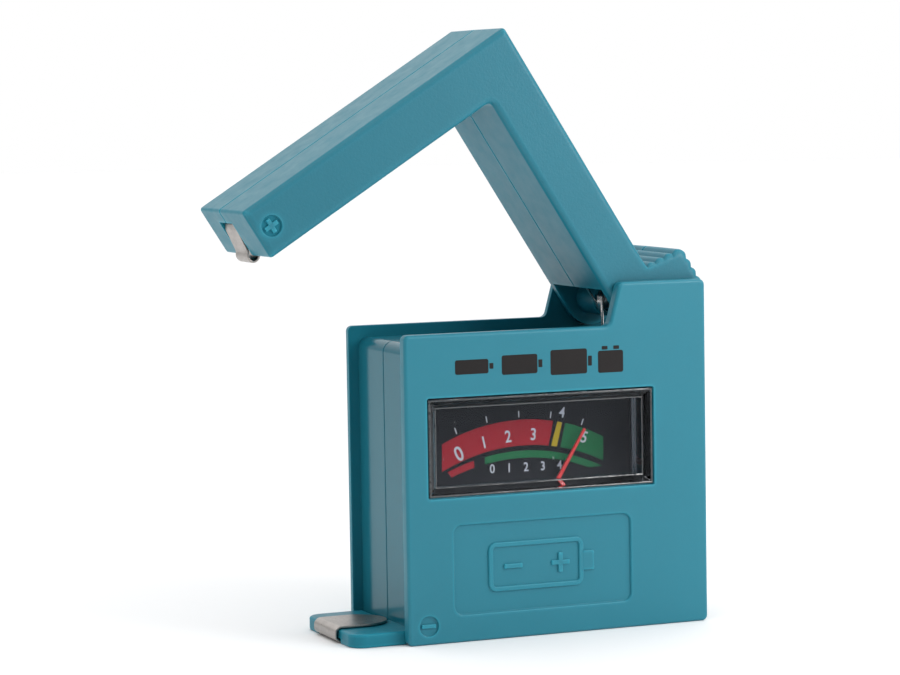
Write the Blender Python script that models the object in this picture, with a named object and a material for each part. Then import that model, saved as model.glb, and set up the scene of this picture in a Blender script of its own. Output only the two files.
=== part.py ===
"""Pocket battery tester.

A two-shell case holds a small moving-coil meter behind a clear window. A hollow L-shaped arm turns on a
steel pin at the case's top right corner, so that a cell of any length is gripped between the contact at
the arm's tip and the contact on the case's foot. Dimensions below are millimetres; MM turns them into
Blender's metres. +X is to the right, the front faces -Y and +Z is up. The origin is the middle of the base.
"""

import math

import bmesh
import bpy
from mathutils import Matrix, Vector

MM = 0.001

# Case: two shells, each an outer plate with a narrower block behind it.
CASE_WIDTH = 46.1
CASE_DEPTH = 23.0
LEFT_HEIGHT = 42.9
TAB_HEIGHT = 49.0
NOTCH_FOOT_X = 7.95
NOTCH_TOP_X = 9.65
FRONT_PLATE = 1.7
REAR_PLATE = 1.3
PLATE_ROUND = 0.45
BLOCK_INSET = 1.5
BLOCK_TOP = 41.3
WALL = 1.2
SEAM_FRONT = 0.3
SEAM_REAR = 0.5

# Foot under the cell.
FOOT_LEFT = -30.6
FOOT_THICK = 1.95
FOOT_FRONT = -9.6
FOOT_REAR = 9.7

# Window, recessed panel and polarity mark on the front plate.
WINDOW = (-19.8, 14.7, 20.15, 34.1)
PANEL = (-16.1, 10.85, 3.85, 16.3)
RELIEF = 0.35
MARK_RADIUS = 1.5

# Arm, drawn closed about its pivot: leg 1 lies along the case's top and leg 2 hangs down its left side.
PIVOT_X = 14.43
PIVOT_Z = 45.6
ARM_OPEN = math.radians(57.66)
ARM_FRONT = -9.4
ARM_SEAM_FRONT = 0.9
ARM_SEAM_REAR = 1.1
ARM_REAR = 9.8
ARM_OUTER_X = -44.3
ARM_INNER_X = -36.7
ARM_TOP_Z = 3.45
ARM_UNDER_Z = -4.0
ARM_TIP_Z = -42.44
ARM_WALL = 1.2
CHEEK = 1.4
HUB_RADIUS = 3.95
CHEEK_FROM_X = -5.1
TAB_LEFT_X = -4.1
TAB_CREST = 9.3
RIDGE_HEIGHT = 0.35
BOSS_RADIUS = 2.35
PIN_RADIUS = 1.2
PIN_HOLE = 1.27

# Meter.
METER_X = -2.57
METER_Z = 13.3
POINTER_REST = math.radians(31.6)
DIAL_FACE = -4.5
POINTER_Y = -5.6
POINTER_LENGTH = 17.3

SCREWS = ((-17.6, 9.6), (17.7, 4.4), (-17.9, 37.3))
NINE_VOLT_Z = (9.5, 22.2)


def clear_scene():
    for item in list(bpy.data.objects):
        bpy.data.objects.remove(item, do_unlink=True)


def material(name, colour, roughness, metallic=0.0, alpha=1.0, transmission=0.0):
    made = bpy.data.materials.new(name)
    made.use_nodes = True
    shader = made.node_tree.nodes["Principled BSDF"]
    shader.inputs["Base Color"].default_value = (*colour, 1.0)
    shader.inputs["Roughness"].default_value = roughness
    shader.inputs["Metallic"].default_value = metallic
    shader.inputs["Alpha"].default_value = alpha
    shader.inputs["Transmission Weight"].default_value = transmission
    made.diffuse_color = (*colour, alpha)
    return made


def outline(corners, inset=0.0, steps=4):
    """Closed polygon from corners (x, z, radius), counter-clockwise from the front, moved in by inset."""
    points = []
    for i, (x, z, radius) in enumerate(corners):
        here = Vector((x, z))
        arrive = (here - Vector(corners[i - 1][:2])).normalized()
        leave = (Vector(corners[(i + 1) % len(corners)][:2]) - here).normalized()
        left_in, left_out = Vector((-arrive.y, arrive.x)), Vector((-leave.y, leave.x))
        here = here + (left_in + left_out) * (inset / (1 + left_in.dot(left_out)))
        if radius == 0:
            points.append(here)
            continue
        turn = math.atan2(arrive.x * leave.y - arrive.y * leave.x, arrive.dot(leave))
        side = math.copysign(1, turn)
        radius = max(radius - side * inset, 0.02)
        start = here - arrive * radius * math.tan(abs(turn) / 2)
        centre = start + left_in * radius * side
        for k in range(steps + 1):
            points.append(centre + Matrix.Rotation(turn * k / steps, 2) @ (start - centre))
    return points


def object_from(name, bm):
    bmesh.ops.recalc_face_normals(bm, faces=bm.faces)
    mesh = bpy.data.meshes.new(name)
    bm.to_mesh(mesh)
    bm.free()
    made = bpy.data.objects.new(name, mesh)
    bpy.context.scene.collection.objects.link(made)
    return made


def loft(name, loops, place):
    """Closed solid through loops of equal length. place(point, height) gives a position in millimetres."""
    bm = bmesh.new()
    rings = [[bm.verts.new(Vector(place(p, h)) * MM) for p in points] for points, h in loops]
    for one, two in zip(rings, rings[1:]):
        for i in range(len(one)):
            j = (i + 1) % len(one)
            bm.faces.new((one[i], one[j], two[j], two[i]))
    bm.faces.new(rings[0])
    bm.faces.new(rings[-1])
    return object_from(name, bm)


def along_y(point, height):
    return point[0], height, point[1]


def along_z(point, height):
    return point[0], point[1], height


def prism(name, points, low, high, place=along_y):
    return loft(name, [(points, low), (points, high)], place)


def box(name, x, y, z):
    return prism(name, [(x[0], z[0]), (x[1], z[0]), (x[1], z[1]), (x[0], z[1])], y[0], y[1])


def circle(x, z, radius, sides=32):
    angles = [2 * math.pi * k / sides for k in range(sides)]
    return [(x + radius * math.cos(a), z + radius * math.sin(a)) for a in angles]


def disc(name, x, z, radius, low, high, sides=32, high_radius=None):
    loops = [(circle(x, z, radius, sides), low), (circle(x, z, high_radius or radius, sides), high)]
    return loft(name, loops, along_y)


def apply_boolean(target, tool, operation):
    modifier = target.modifiers.new(operation.title(), "BOOLEAN")
    modifier.operation = operation
    modifier.solver = "EXACT"
    modifier.object = tool
    graph = bpy.context.evaluated_depsgraph_get()
    mesh = bpy.data.meshes.new_from_object(target.evaluated_get(graph))
    target.modifiers.clear()
    target.data = mesh
    bpy.data.objects.remove(tool, do_unlink=True)


def cut(target, *tools):
    for tool in tools:
        apply_boolean(target, tool, "DIFFERENCE")


def add(target, *tools):
    for tool in tools:
        apply_boolean(target, tool, "UNION")


def finish(item, look, parent=None, smooth=None):
    item.data.name = item.name
    item.data.materials.clear()
    item.data.materials.append(look)
    if smooth:
        item.data.shade_smooth()
        item.data.set_sharp_from_angle(angle=math.radians(smooth))
    item.parent = parent
    return item


def sweep(name, path, section):
    """Flat or round bar: section, points (across, along the normal), carried along path, points (x, y, z)."""
    bm = bmesh.new()
    rings = []
    side = Vector((0, 1, 0))
    for i, here in enumerate(path):
        ahead = Vector(path[min(i + 1, len(path) - 1)]) - Vector(path[max(i - 1, 0)])
        normal = ahead.cross(side).normalized()
        across = normal.cross(ahead).normalized()
        rings.append([bm.verts.new((Vector(here) + across * a + normal * n) * MM) for a, n in section])
    for one, two in zip(rings, rings[1:]):
        for i in range(len(section)):
            j = (i + 1) % len(section)
            bm.faces.new((one[i], one[j], two[j], two[i]))
    bm.faces.new(rings[0])
    bm.faces.new(rings[-1])
    return object_from(name, bm)


def wire(name, points, radius, look, steps=5):
    """Round lead along a smooth curve through points, as a bevelled poly curve with filled ends."""
    path = []
    for i in range(len(points) - 1):
        p0, p1 = Vector(points[max(i - 1, 0)]), Vector(points[i])
        p2, p3 = Vector(points[i + 1]), Vector(points[min(i + 2, len(points) - 1)])
        for k in range(steps):
            t = k / steps
            path.append(0.5 * (2 * p1 + (p2 - p0) * t + (2 * p0 - 5 * p1 + 4 * p2 - p3) * t * t
                               + (3 * p1 - p0 - 3 * p2 + p3) * t ** 3))
    path.append(Vector(points[-1]))
    curve = bpy.data.curves.new(name, "CURVE")
    curve.dimensions = "3D"
    curve.bevel_depth = radius * MM
    curve.bevel_resolution = 2
    curve.use_fill_caps = True
    spline = curve.splines.new("POLY")
    spline.points.add(len(path) - 1)
    for point, place in zip(spline.points, path):
        point.co = (*(place * MM), 1.0)
    curve.materials.append(look)
    made = bpy.data.objects.new(name, curve)
    bpy.context.scene.collection.objects.link(made)
    return made


# Case shells ------------------------------------------------------------------------------------------

HALF = CASE_WIDTH / 2
PLATE_CORNERS = (
    (-HALF, 0, 0.8), (HALF, 0, 0.8), (HALF, TAB_HEIGHT, 0.9), (NOTCH_TOP_X, TAB_HEIGHT, 0.9),
    (NOTCH_FOOT_X, LEFT_HEIGHT, 1.0), (-HALF, LEFT_HEIGHT, 0.8),
)
BLOCK_HALF = HALF - BLOCK_INSET
BLOCK_CORNERS = (
    (-BLOCK_HALF, 0, 0), (BLOCK_HALF, 0, 0), (BLOCK_HALF, BLOCK_TOP, 1.6), (-BLOCK_HALF, BLOCK_TOP, 1.6),
)
CAVITY_CORNERS = (
    (-BLOCK_HALF, 0, 1.8), (BLOCK_HALF, 0, 1.8), (BLOCK_HALF, BLOCK_TOP, 1.6), (-BLOCK_HALF, BLOCK_TOP, 1.6),
)
FRONT_FACE = -CASE_DEPTH / 2
FRONT_INSIDE = FRONT_FACE + FRONT_PLATE
REAR_FACE = CASE_DEPTH / 2
REAR_INSIDE = REAR_FACE - REAR_PLATE


def shell(name, outer_face, inner_face, seam):
    """Plate with rounded outer edges, and the hollow block behind it, open at the seam."""
    into = math.copysign(1, inner_face - outer_face)
    loops = [
        (outline(PLATE_CORNERS, PLATE_ROUND), outer_face),
        (outline(PLATE_CORNERS, PLATE_ROUND * 0.3), outer_face + into * PLATE_ROUND * 0.3),
        (outline(PLATE_CORNERS), outer_face + into * PLATE_ROUND),
        (outline(PLATE_CORNERS), inner_face),
    ]
    made = loft(name, loops, along_y)
    add(made, prism("block", outline(BLOCK_CORNERS), inner_face - into * 0.2, seam))
    cut(made, prism("cavity", outline(CAVITY_CORNERS, WALL), inner_face, seam + into))
    return made


def make_front_cover(look):
    made = shell("front_cover", FRONT_FACE, FRONT_INSIDE, SEAM_FRONT)
    x0, x1, z0, z1 = WINDOW
    opening = outline(((x0, z0, 0.3), (x1, z0, 0.3), (x1, z1, 0.3), (x0, z1, 0.3)))
    cut(made, prism("opening", opening, FRONT_FACE - 1, FRONT_INSIDE + 1))
    x0, x1, z0, z1 = PANEL
    panel = outline(((x0, z0, 1.2), (x1, z0, 1.2), (x1, z1, 1.2), (x0, z1, 1.2)))
    cut(made, prism("panel", panel, FRONT_FACE - 1, FRONT_FACE + RELIEF))
    mark_x, mark_z = -20.03, 2.62
    cut(made, disc("mark", mark_x, mark_z, MARK_RADIUS, FRONT_FACE - 1, FRONT_FACE + RELIEF))
    bar = (FRONT_FACE + 0.05, FRONT_FACE + RELIEF + 0.3)
    add(made, box("minus", (mark_x - 1.05, mark_x + 1.05), bar, (mark_z - 0.27, mark_z + 0.27)))
    # Raised cell symbol on the panel: a body outline with its terminal nub and the two polarity signs.
    depth = (FRONT_FACE + 0.08, FRONT_FACE + RELIEF + 0.3)
    symbol = box("symbol", (-11.0, 3.6), depth, (6.6, 13.6))
    cut(symbol, box("symbol_inside", (-10.2, 2.8), (depth[0] - 1, depth[1] + 1), (7.4, 12.8)))
    add(made, symbol, box("symbol_nub", (3.4, 5.2), depth, (8.7, 11.5)))
    for x in (-7.2, 0.0):
        add(made, box("symbol_sign", (x - 1.4, x + 1.4), depth, (9.75, 10.45)))
    add(made, box("symbol_upright", (-0.35, 0.35), depth, (8.7, 11.5)))
    # Foot: a tongue that carries the negative contact, with a trough underneath for its tail.
    root, heel = -BLOCK_HALF + 0.6, -BLOCK_HALF - 0.3
    foot = outline((
        (FOOT_LEFT, FOOT_FRONT, 2.2), (root, FOOT_FRONT, 0), (root, SEAM_FRONT, 0),
        (heel, SEAM_FRONT, 0), (heel, FOOT_REAR, 0), (FOOT_LEFT, FOOT_REAR, 2.2),
    ))
    add(made, prism("foot", foot, 0, FOOT_THICK, along_z))
    cut(made, box("trough", (FOOT_LEFT - 1, -19.3), (-4.7, -0.1), (-1, 0.75)))
    cut(made, box("trough_mouth", (FOOT_LEFT - 1, -25.5), (-0.5, 4.7), (-1, 0.75)))
    cut(made, box("tail_slot", (-20.1, -19.3), (-4.7, -0.1), (0.5, 2)))
    # Blind hole for the hinge pin, screw bosses and the notch for the spring's lower leg.
    cut(made, disc("pin_hole", PIVOT_X, PIVOT_Z, PIN_HOLE, FRONT_INSIDE - 1.1, FRONT_INSIDE + 1))
    for i, (x, z) in enumerate(SCREWS):
        boss = disc("boss", x, z, 2.2, FRONT_INSIDE - 0.2, SEAM_FRONT, 24)
        cut(boss, disc("boss_hole", x, z, 1.0, FRONT_INSIDE + 1.5, SEAM_FRONT + 1, 24))
        add(made, boss)
    cut(made, box("spring_notch", (11.7, 12.8), (-0.5, 1), (BLOCK_TOP - 2, BLOCK_TOP + 1)))
    for z in NINE_VOLT_Z:
        cut(made, box("contact_slot", (BLOCK_HALF - 2, BLOCK_HALF + 1), (-6.2, -2.8), (z - 0.5, z + 0.5)))
    return finish(made, look, smooth=35)


def make_rear_cover(look):
    made = shell("rear_cover", REAR_FACE, REAR_INSIDE, SEAM_REAR)
    cut(made, disc("pin_hole", PIVOT_X, PIVOT_Z, PIN_HOLE, REAR_INSIDE - 1, REAR_INSIDE + 0.9))
    for x, z in SCREWS:
        add(made, disc("pillar", x, z, 2.2, SEAM_REAR, REAR_INSIDE + 0.2, 24))
        cut(made, disc("shank_hole", x, z, 1.1, SEAM_REAR - 1, REAR_FACE + 1, 24))
        cut(made, disc("sink", x, z, 1.1, REAR_FACE - 0.9, REAR_FACE + 0.2, 24, 2.2))
    return finish(made, look, smooth=35)


def make_screw(name, x, z, look):
    made = disc(name, x, z, 0.9, -5.5, REAR_FACE - 1.0, 16)
    add(made, disc("head", x, z, 0.9, REAR_FACE - 1.05, REAR_FACE - 0.15, 24, 1.75))
    cut(made, box("slot_a", (x - 1.1, x + 1.1), (REAR_FACE - 0.6, REAR_FACE + 1), (z - 0.22, z + 0.22)))
    cut(made, box("slot_b", (x - 0.22, x + 0.22), (REAR_FACE - 0.6, REAR_FACE + 1), (z - 1.1, z + 1.1)))
    return finish(made, look, smooth=35)


def make_negative_contact(look):
    """Hairpin strip: a round-ended tongue on the foot, over its left end and back under it into the case."""
    half, top, low = 4.25, FOOT_THICK + 0.3, 0.35
    tongue = [(-30.2, half), (-30.2, -half)]
    for k in range(13):
        a = math.radians(-90 + 15 * k)
        tongue.append((-26.4 + half * math.cos(a), half * math.sin(a)))
    made = prism("negative_contact", tongue, top - 0.15, top + 0.15, along_z)
    path = [(-30.0, 0, top), (-30.6, 0, top - 0.03), (-31.0, 0, top - 0.3), (-31.1, 0, 1.4),
            (-31.08, 0, 0.75), (-30.8, 0, low + 0.07), (-30.2, 0, low), (-26.0, 0, low)]
    add(made, sweep("wrap", path, [(-half, -0.14), (half, -0.14), (half, 0.14), (-half, 0.14)]))
    tail = [(-26.4, -2.4, low), (-20.6, -2.4, low), (-19.9, -2.4, low + 0.2), (-19.7, -2.4, low + 0.8),
            (-19.7, -2.4, 5.8)]
    add(made, sweep("tail", tail, [(-1.8, -0.12), (1.8, -0.12), (1.8, 0.12), (-1.8, 0.12)]))
    return finish(made, look, smooth=35)


def make_nine_volt_contact(name, z, look):
    x = BLOCK_HALF + 0.3
    made = box(name, (x, x + 0.4), (-7.6, -1.4), (z - 3.1, z + 3.1))
    add(made, box("tail", (x - 3.6, x + 0.2), (-5.9, -3.1), (z - 0.2, z + 0.2)))
    return finish(made, look)


# Window and meter -------------------------------------------------------------------------------------


def make_window_lens(look):
    gap, wall, rear = 0.15, 1.0, -6.3
    x0, x1, z0, z1 = WINDOW[0] + gap, WINDOW[1] - gap, WINDOW[2] + gap, WINDOW[3] - gap
    corners = ((x0, z0, 0), (x1, z0, 0), (x1, z1, 0), (x0, z1, 0))
    made = prism("window_lens", outline(corners), FRONT_FACE + 0.1, rear)
    add(made, box("flange", (-14.0, 9.0), (FRONT_INSIDE + 0.2, FRONT_INSIDE + 1.0), (z0 - 1.2, z1 + 1.2)))
    bevel = [(outline(corners, 0.1), FRONT_FACE), (outline(corners, 1.35), FRONT_FACE + 0.8)]
    cut(made, loft("bevel", bevel, along_y))
    cut(made, prism("inside", outline(corners, wall), FRONT_INSIDE, rear + 1))
    return finish(made, look)


def make_dial_plate(look):
    return finish(box("dial_plate", (-19.2, 14.1), (DIAL_FACE, DIAL_FACE + 0.3), (20.6, 33.4)), look)


def make_meter_frame(look):
    """Dark moulding: a light box round the dial, and the platform below it that carries the movement."""
    made = box("meter_frame", (-20.1, 15.0), (-4.0, -3.0), (20.4, 34.5))
    add(made, box("platform", (-13.5, 8.4), (-4.0, -3.0), (4.2, 21)))
    for x in ((-20.1, -19.5), (14.4, 15.0)):
        add(made, box("side", x, (-6.0, -3.2), (20.4, 34.5)))
    add(made, box("roof", (-20.0, 14.9), (-6.0, -3.2), (33.8, 34.5)))
    cut(made, disc("coil_hole", METER_X, METER_Z, 7.0, -5, -2, 40))
    for x in (-12.0, 6.86):
        add(made, box("pillar", (x - 1.0, x + 1.0), (-3.2, 5.9), (METER_Z - 2.0, METER_Z + 2.0)))
        add(made, box("post", (x - 1.0, x + 1.0), (-7.3, -3.8), (METER_Z - 2.0, METER_Z + 2.0)))
    return finish(made, look, smooth=35)


def make_magnet(look):
    made = disc("meter_magnet", METER_X, METER_Z, 8.0, -2.7, 4.5, 40)
    cut(made, disc("bore", METER_X, METER_Z, 6.2, -4, 6, 40))
    return finish(made, look, smooth=35)


def make_core(look):
    """Soft-iron core inside the coil, with the strap that carries it across the gap."""
    made = disc("meter_core", METER_X, METER_Z, 3.4, -2.2, 4.1, 32)
    add(made, box("strap", (METER_X - 1.3, METER_X + 1.3), (3.0, 3.9), (METER_Z - 5.95, METER_Z + 5.95)))
    return finish(made, look, smooth=35)


def make_bridge(name, low, high, look):
    made = box(name, (METER_X - 10.4, METER_X + 10.4), (low, high), (METER_Z - 1.8, METER_Z + 1.8))
    cut(made, disc("jewel_hole", METER_X, METER_Z, 1.15, low - 1, high + 1, 24))
    return finish(made, look, smooth=35)


def make_jewel(name, low, high, slot, look):
    made = disc(name, METER_X, METER_Z, 1.0, low, high, 24)
    cut(made, box("slot", (METER_X - 1.3, METER_X + 1.3), slot, (METER_Z - 0.2, METER_Z + 0.2)))
    return finish(made, look, smooth=35)


def make_zero_adjuster(look):
    """Small lever round the spindle that moves the front hairspring's fixed end."""
    made = disc("zero_adjuster", METER_X, METER_Z, 1.9, -6.95, -6.55, 28)
    add(made, box("lever", (METER_X - 0.5, METER_X + 0.5), (-6.95, -6.55), (METER_Z - 7.2, METER_Z - 1.4)))
    add(made, box("fork", (METER_X - 0.4, METER_X + 0.4), (-6.8, -4.2), (METER_Z - 4.5, METER_Z - 4.05)))
    cut(made, disc("bore", METER_X, METER_Z, 0.8, -8, -5, 24))
    return finish(made, look, smooth=35)


def make_hairspring(name, y, fixed_end, look, turns=3.5, first=0.95, last=3.7):
    """Flat spiral ribbon round the spindle, whose outer end is fixed at the angle given."""
    path = []
    count = int(turns * 20)
    for k in range(count + 1):
        a = fixed_end - 2 * math.pi * turns * (1 - k / count)
        r = first + (last - first) * k / count
        path.append((METER_X + r * math.cos(a), y, METER_Z + r * math.sin(a)))
    made = sweep(name, path, [(-0.2, -0.06), (0.2, -0.06), (0.2, 0.06), (-0.2, 0.06)])
    return finish(made, look, smooth=35)


# The moving pieces of the meter are drawn about the spindle with the pointer straight up.


def make_moving_coil(look, parent):
    """Rectangular winding round the core."""
    made = box("moving_coil", (-4.95, 4.95), (-3.1, 5.1), (-0.7, 0.7))
    cut(made, box("inside", (-4.2, 4.2), (-2.5, 4.5), (-2, 2)))
    return finish(made, look, parent)


def make_spindle(name, foot, tip, look, parent):
    """Pivot glued on the coil's end: a small square foot and a round shaft."""
    into = math.copysign(1, tip - foot)
    made = box(name, (-1.1, 1.1), sorted((foot, foot + into * 0.35)), (-0.7, 0.7))
    add(made, disc("shaft", 0, 0, 0.4, foot + into * 0.1, tip, 16))
    return finish(made, look, parent, smooth=35)


def make_pointer(look, parent):
    tip = POINTER_LENGTH
    blade = [(-0.35, -3.7), (0.35, -3.7), (0.42, 0), (0.2, tip), (-0.2, tip), (-0.42, 0)]
    made = prism("pointer", blade, POINTER_Y - 0.15, POINTER_Y + 0.15)
    add(made, disc("hub", 0, 0, 1.2, POINTER_Y - 0.35, POINTER_Y + 0.35, 24))
    cut(made, disc("bore", 0, 0, 0.5, POINTER_Y - 1, POINTER_Y + 1, 16))
    return finish(made, look, parent, smooth=35)


def make_balance_weight(look, parent):
    made = box("balance_weight", (-0.9, 0.9), (POINTER_Y - 0.5, POINTER_Y + 0.5), (-3.5, -2.0))
    cut(made, box("slot", (-0.47, 0.47), (POINTER_Y - 0.25, POINTER_Y + 1), (-5, -1)))
    return finish(made, look, parent)


# Circuit ----------------------------------------------------------------------------------------------


def make_circuit_board(look):
    made = box("circuit_board", (1.5, 19.6), (8.3, 9.5), (20.5, 33.5))
    for x, z in ((17.8, 22.4), (3.2, 22.4)):
        cut(made, disc("hole", x, z, 0.8, 7, 11, 20))
    return finish(made, look)


def make_resistor(name, x, z, look):
    made = loft(
        name,
        [(circle(x, 6.9, r, 20), z + h) for r, h in ((0.9, -3.0), (1.2, -2.7), (1.2, -1.8), (1.0, -1.5),
                                                     (1.0, 1.5), (1.2, 1.8), (1.2, 2.7), (0.9, 3.0))],
        along_z,
    )
    for end in (-1, 1):
        add(made, prism("stub", circle(x, 6.9, 0.28, 8), z + end * 2.8, z + end * 3.6, along_z))
        add(made, disc("leg", x, z + end * 3.45, 0.25, 6.8, 8.0, 8))
    return finish(made, look, smooth=35)


# Arm, drawn closed about its pivot --------------------------------------------------------------------


def ridges(start, end, count, steps=4):
    """Points of rounded ridges that stand out to the right of the line from start to end."""
    start, end = Vector(start), Vector(end)
    along = end - start
    out = Vector((along.y, -along.x)).normalized() * RIDGE_HEIGHT
    return [
        start + along * (i + k / steps) / count + out * math.sin(math.pi * k / steps)
        for i in range(count) for k in range(steps) if i or k
    ]


def arm_corners():
    tab_right = (3.0, TAB_CREST)
    tab_left = (-3.1, TAB_CREST)
    corners = [(ARM_OUTER_X, ARM_TIP_Z, 0.5), (ARM_INNER_X, ARM_TIP_Z, 0.5), (ARM_INNER_X, ARM_UNDER_Z, 0.8)]
    for k in range(13):
        a = math.radians(-90 + 7.5 * k)
        corners.append((HUB_RADIUS * math.cos(a), HUB_RADIUS * math.sin(a), 0))
    corners.append((*tab_right, 0))
    corners += [(p.x, p.y, 0) for p in ridges(tab_right, tab_left, 4)]
    corners.append((*tab_left, 0))
    corners += [(p.x, p.y, 0) for p in ridges(tab_left, (TAB_LEFT_X, ARM_TOP_Z), 4)]
    corners.append((TAB_LEFT_X, ARM_TOP_Z, 0))
    corners.append((ARM_OUTER_X, ARM_TOP_Z, 0.5))
    return corners


ARM_CAVITY = (
    (ARM_OUTER_X + ARM_WALL, ARM_TIP_Z + ARM_WALL, 0), (ARM_INNER_X - ARM_WALL, ARM_TIP_Z + ARM_WALL, 0),
    (ARM_INNER_X - ARM_WALL, ARM_UNDER_Z + ARM_WALL, 0), (CHEEK_FROM_X, ARM_UNDER_Z + ARM_WALL, 0),
    (CHEEK_FROM_X, ARM_UNDER_Z - 2, 0), (HUB_RADIUS + 2, ARM_UNDER_Z - 2, 0),
    (HUB_RADIUS + 2, ARM_TOP_Z - ARM_WALL, 0), (2.5, ARM_TOP_Z - ARM_WALL, 0),
    (1.7, TAB_CREST - ARM_WALL, 0), (-1.8, TAB_CREST - ARM_WALL, 0),
    (-2.6, ARM_TOP_Z - ARM_WALL, 0), (ARM_OUTER_X + ARM_WALL, ARM_TOP_Z - ARM_WALL, 0),
)


def make_arm_half(name, outer, seam, boss_end, look, parent):
    into = math.copysign(1, seam - outer)
    inner = outer + into * CHEEK
    made = prism(name, outline(arm_corners()), outer, seam)
    cut(made, prism("cavity", outline(ARM_CAVITY), inner, seam + into))
    add(made, disc("boss", 0, 0, BOSS_RADIUS, inner - into * 0.2, boss_end, 28))
    cut(made, disc("pin_hole", 0, 0, PIN_HOLE, outer - into, boss_end + into, 32))
    cut(made, box("contact_slot", (-42.2, ARM_INNER_X + 1), (-1.5, 4.1), (ARM_TIP_Z - 1, ARM_TIP_Z + 1.9)))
    if into > 0:
        x, z = -40.48, -39.99
        cut(made, disc("mark", x, z, 1.55, outer - 1, outer + RELIEF))
        depth = (outer + 0.05, outer + RELIEF + 0.3)
        plus = box("plus", (x - 1.05, x + 1.05), depth, (z - 0.3, z + 0.3))
        add(plus, box("plus_upright", (x - 0.3, x + 0.3), depth, (z - 1.05, z + 1.05)))
        add(made, plus)
    return finish(made, look, parent, smooth=35)


def make_arm_contact(look, parent):
    """One strip: from the hinge along both legs, out through the tip's slot and round its inner corner."""
    corners = [(-7.5, -1.45), (-37.9, -1.45), (-40.6, -4.6), (-40.6, -38.6), (-41.8, -40.4),
               (-41.75, -41.7), (-41.0, -42.15), (-37.6, -42.55), (-36.9, -43.05), (-36.1, -42.9),
               (-35.85, -42.2), (-36.2, -41.5), (-37.4, -41.3)]
    path = [(x, 1.3, z) for x, z in corners]
    made = sweep("arm_contact", path, [(-2.5, -0.15), (2.5, -0.15), (2.5, 0.15), (-2.5, 0.15)])
    return finish(made, look, parent)


def make_torsion_spring(look):
    """Coil round the hinge pin: one leg down into the case, the other along the inside of the arm."""
    radius, wire_radius = 2.05, 0.2
    front, rear = 0.2, 1.9
    start = math.pi + (math.pi / 2 - ARM_OPEN)
    end = math.pi + 2 * math.pi * 4
    centre = Vector((PIVOT_X, 0, PIVOT_Z))
    along_arm = Vector((-math.cos(ARM_OPEN), 0, math.sin(ARM_OPEN)))
    points = []
    count = 64
    for k in range(count + 1):
        a = start + (end - start) * k / count
        y = rear + (front - rear) * k / count
        points.append(centre + Vector((radius * math.cos(a), y, radius * math.sin(a))))
    head = [points[0] + along_arm * d for d in (7.5, 5.0, 2.5)]
    tail = [points[-1] - Vector((0, 0, d)) for d in (2.0, 4.0, 6.2)]
    curve = bpy.data.curves.new("torsion_spring", "CURVE")
    curve.dimensions = "3D"
    curve.bevel_depth = wire_radius * MM
    curve.bevel_resolution = 1
    curve.use_fill_caps = True
    spline = curve.splines.new("POLY")
    path = head + points + tail
    spline.points.add(len(path) - 1)
    for point, place in zip(spline.points, path):
        point.co = (*(place * MM), 1.0)
    curve.materials.append(look)
    made = bpy.data.objects.new("torsion_spring", curve)
    bpy.context.scene.collection.objects.link(made)
    return made


def axis(name, x, z, turn):
    made = bpy.data.objects.new(name, None)
    made.location = (x * MM, 0, z * MM)
    made.rotation_euler = (0, turn, 0)
    made.empty_display_size = 0.01
    bpy.context.scene.collection.objects.link(made)
    return made


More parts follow.
